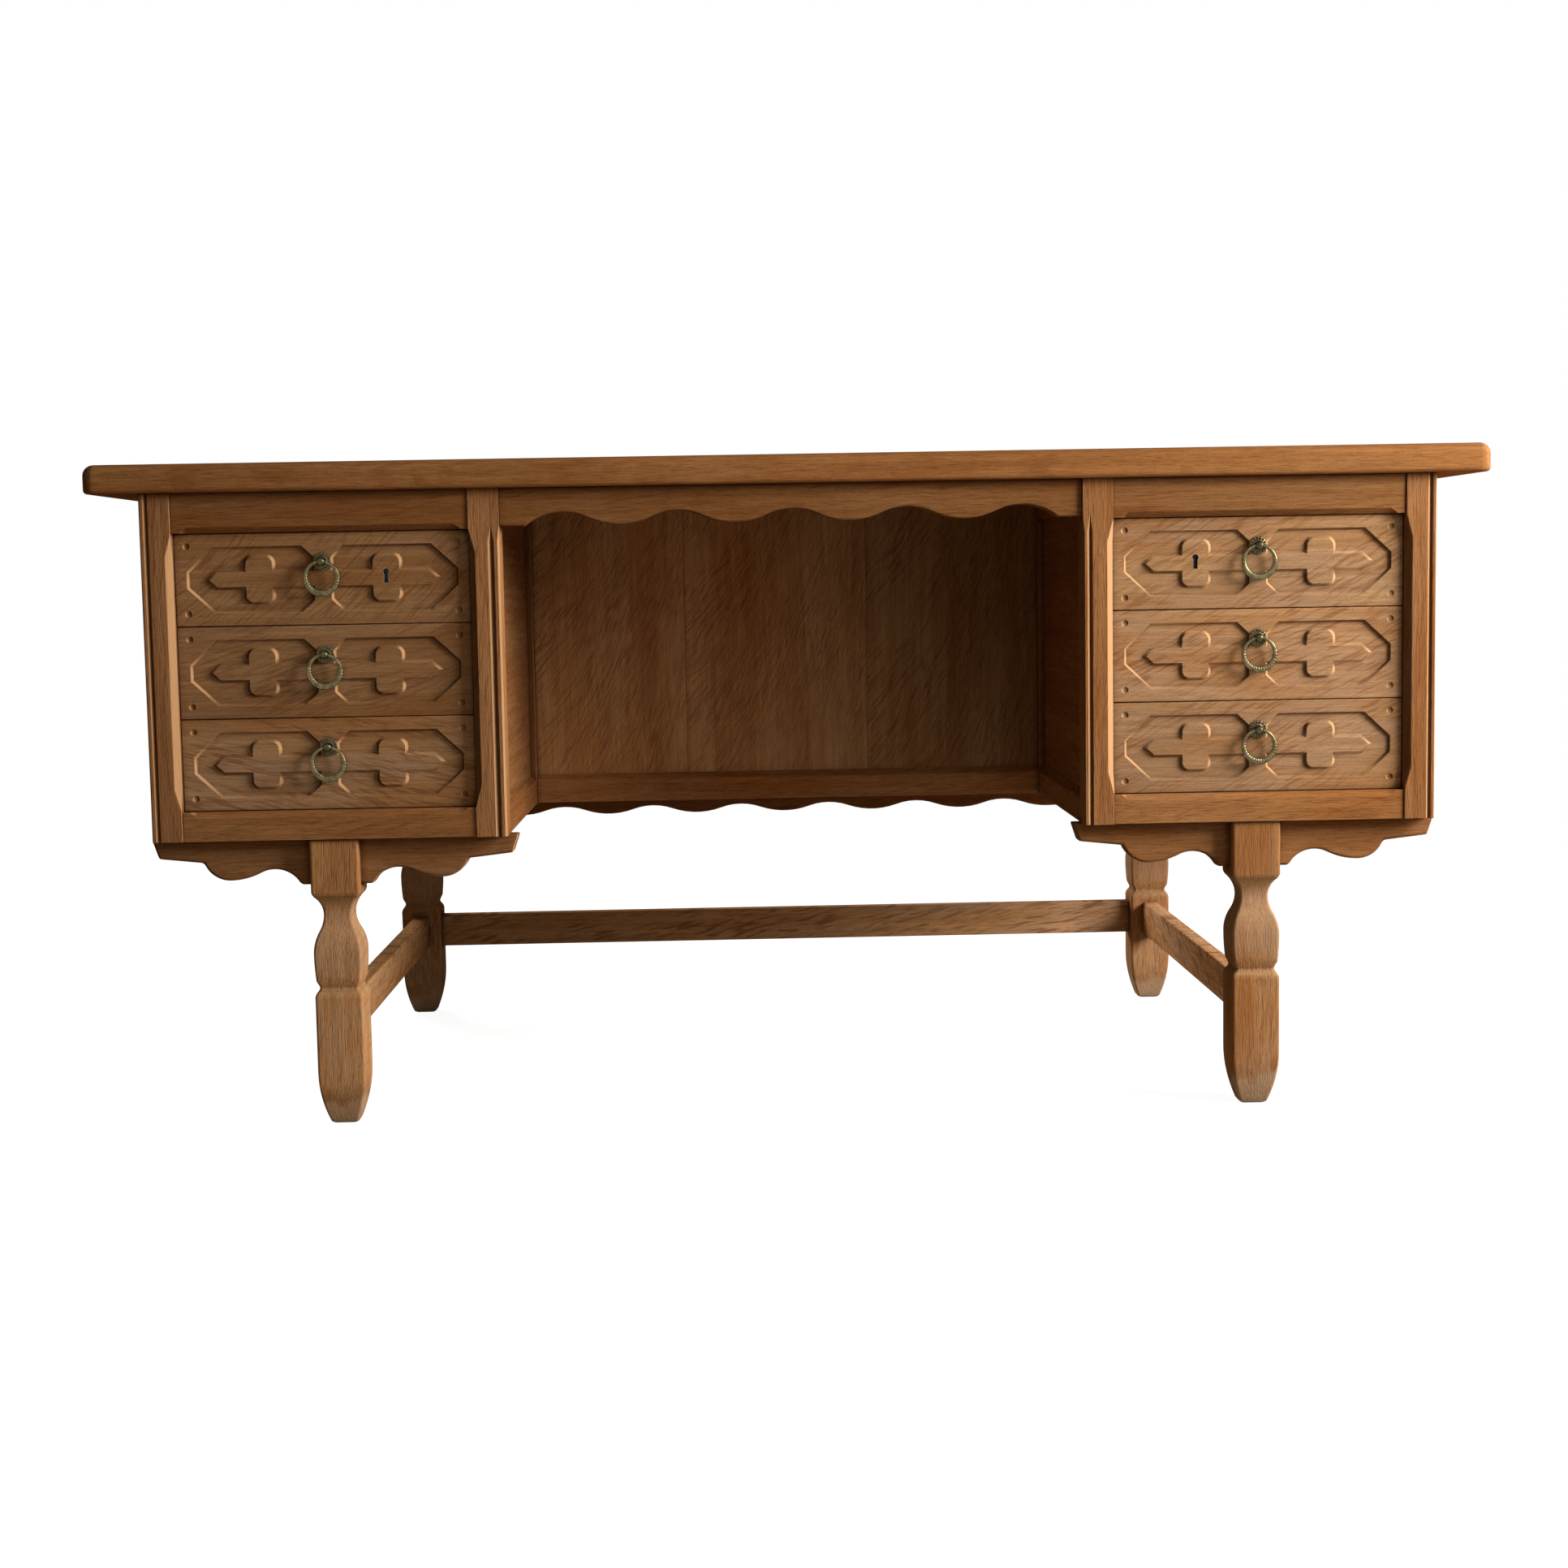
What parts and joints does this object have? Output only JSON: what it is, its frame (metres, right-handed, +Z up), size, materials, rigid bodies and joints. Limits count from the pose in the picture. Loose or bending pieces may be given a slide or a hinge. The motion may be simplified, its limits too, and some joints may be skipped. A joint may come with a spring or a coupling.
{
  "type": "writing desk",
  "caption": "Oak writing desk with two drawer pedestals, carved fronts with brass ring pulls, scalloped aprons, square baluster legs joined by stretchers and an open bookcase at the back",
  "frame": {"origin": "on the floor, under the middle of the top", "axes": "+X along the desk to the sitter's right, +Y from the sitter's side towards the back, +Z up"},
  "size_m": [1.56, 0.754, 0.748],
  "materials": {
    "oak": "worn satin oil on solid oak",
    "oak_panel": "satin oak panel with ray fleck",
    "drawer_wood": "plain unstained wood",
    "brass": "cast brass, patinated",
    "steel": "dull steel"
  },
  "bodies": {
    "carcass": {"desk_top": "oak", "left_outer_front_post": "oak", "left_inner_front_post": "oak", "left_rear_posts": "oak", "left_top_rail": "oak", "left_bottom_rail": "oak", "left_side_rails": "oak", "left_side_panels": "oak_panel", "left_back_frame": "oak", "left_front_bearer": "oak", "left_front_leg": "oak", "left_rear_leg": "oak", "right_outer_front_post": "oak", "right_inner_front_post": "oak", "right_rear_posts": "oak", "right_top_rail": "oak", "right_bottom_rail": "oak", "right_side_rails": "oak", "right_side_panels": "oak_panel", "right_back_frame": "oak", "right_front_bearer": "oak", "right_front_leg": "oak", "right_rear_leg": "oak", "pedestal_floors": "drawer_wood", "drawer_runners": "drawer_wood", "kneehole_apron": "oak", "modesty_panel": "oak_panel", "modesty_rail": "oak", "bookcase_boards": "oak", "rear_bearer": "oak", "side_stretchers": "oak", "rear_stretcher": "oak"},
    "left_top_drawer": {"left_top_drawer_front": "oak", "left_top_drawer_box": "drawer_wood", "left_top_pull_knob": "brass", "left_drawer_lock": "steel"},
    "left_top_ring": {"left_top_pull_ring": "brass"},
    "left_middle_drawer": {"left_middle_drawer_front": "oak", "left_middle_drawer_box": "drawer_wood", "left_middle_pull_knob": "brass"},
    "left_middle_ring": {"left_middle_pull_ring": "brass"},
    "left_bottom_drawer": {"left_bottom_drawer_front": "oak", "left_bottom_drawer_box": "drawer_wood", "left_bottom_pull_knob": "brass"},
    "left_bottom_ring": {"left_bottom_pull_ring": "brass"},
    "left_bolt": {"left_lock_bolt": "steel"},
    "right_top_drawer": {"right_top_drawer_front": "oak", "right_top_drawer_box": "drawer_wood", "right_top_pull_knob": "brass", "right_drawer_lock": "steel"},
    "right_top_ring": {"right_top_pull_ring": "brass"},
    "right_middle_drawer": {"right_middle_drawer_front": "oak", "right_middle_drawer_box": "drawer_wood", "right_middle_pull_knob": "brass"},
    "right_middle_ring": {"right_middle_pull_ring": "brass"},
    "right_bottom_drawer": {"right_bottom_drawer_front": "oak", "right_bottom_drawer_box": "drawer_wood", "right_bottom_pull_knob": "brass"},
    "right_bottom_ring": {"right_bottom_pull_ring": "brass"},
    "right_bolt": {"right_lock_bolt": "steel"}
  },
  "joints": [
    {"name": "left_top_drawer_slide", "type": "slide", "parent": "carcass", "child": "left_top_drawer", "axis": [0, -1, 0], "range_m": [0, 0.42]},
    {"name": "left_top_ring_swing", "type": "hinge", "parent": "left_top_drawer", "child": "left_top_ring", "pos_m": [-0.52275, -0.3605, 0.63853], "axis": [-1, 0, 0], "range_deg": [-6, 110]},
    {"name": "left_middle_drawer_slide", "type": "slide", "parent": "carcass", "child": "left_middle_drawer", "axis": [0, -1, 0], "range_m": [0, 0.42]},
    {"name": "left_middle_ring_swing", "type": "hinge", "parent": "left_middle_drawer", "child": "left_middle_ring", "pos_m": [-0.52275, -0.3605, 0.5351], "axis": [-1, 0, 0], "range_deg": [-6, 110]},
    {"name": "left_bottom_drawer_slide", "type": "slide", "parent": "carcass", "child": "left_bottom_drawer", "axis": [0, -1, 0], "range_m": [0, 0.42]},
    {"name": "left_bottom_ring_swing", "type": "hinge", "parent": "left_bottom_drawer", "child": "left_bottom_ring", "pos_m": [-0.52275, -0.3605, 0.43167], "axis": [-1, 0, 0], "range_deg": [-6, 110]},
    {"name": "left_bolt_throw", "type": "slide", "parent": "left_top_drawer", "child": "left_bolt", "axis": [0, 0, 1], "range_m": [0, 0.008]},
    {"name": "right_top_drawer_slide", "type": "slide", "parent": "carcass", "child": "right_top_drawer", "axis": [0, -1, 0], "range_m": [0, 0.42]},
    {"name": "right_top_ring_swing", "type": "hinge", "parent": "right_top_drawer", "child": "right_top_ring", "pos_m": [0.52275, -0.3605, 0.63853], "axis": [-1, 0, 0], "range_deg": [-6, 110]},
    {"name": "right_middle_drawer_slide", "type": "slide", "parent": "carcass", "child": "right_middle_drawer", "axis": [0, -1, 0], "range_m": [0, 0.42]},
    {"name": "right_middle_ring_swing", "type": "hinge", "parent": "right_middle_drawer", "child": "right_middle_ring", "pos_m": [0.52275, -0.3605, 0.5351], "axis": [-1, 0, 0], "range_deg": [-6, 110]},
    {"name": "right_bottom_drawer_slide", "type": "slide", "parent": "carcass", "child": "right_bottom_drawer", "axis": [0, -1, 0], "range_m": [0, 0.42]},
    {"name": "right_bottom_ring_swing", "type": "hinge", "parent": "right_bottom_drawer", "child": "right_bottom_ring", "pos_m": [0.52275, -0.3605, 0.43167], "axis": [-1, 0, 0], "range_deg": [-6, 110]},
    {"name": "right_bolt_throw", "type": "slide", "parent": "right_top_drawer", "child": "right_bolt", "axis": [0, 0, 1], "range_m": [0, 0.008]}
  ]
}
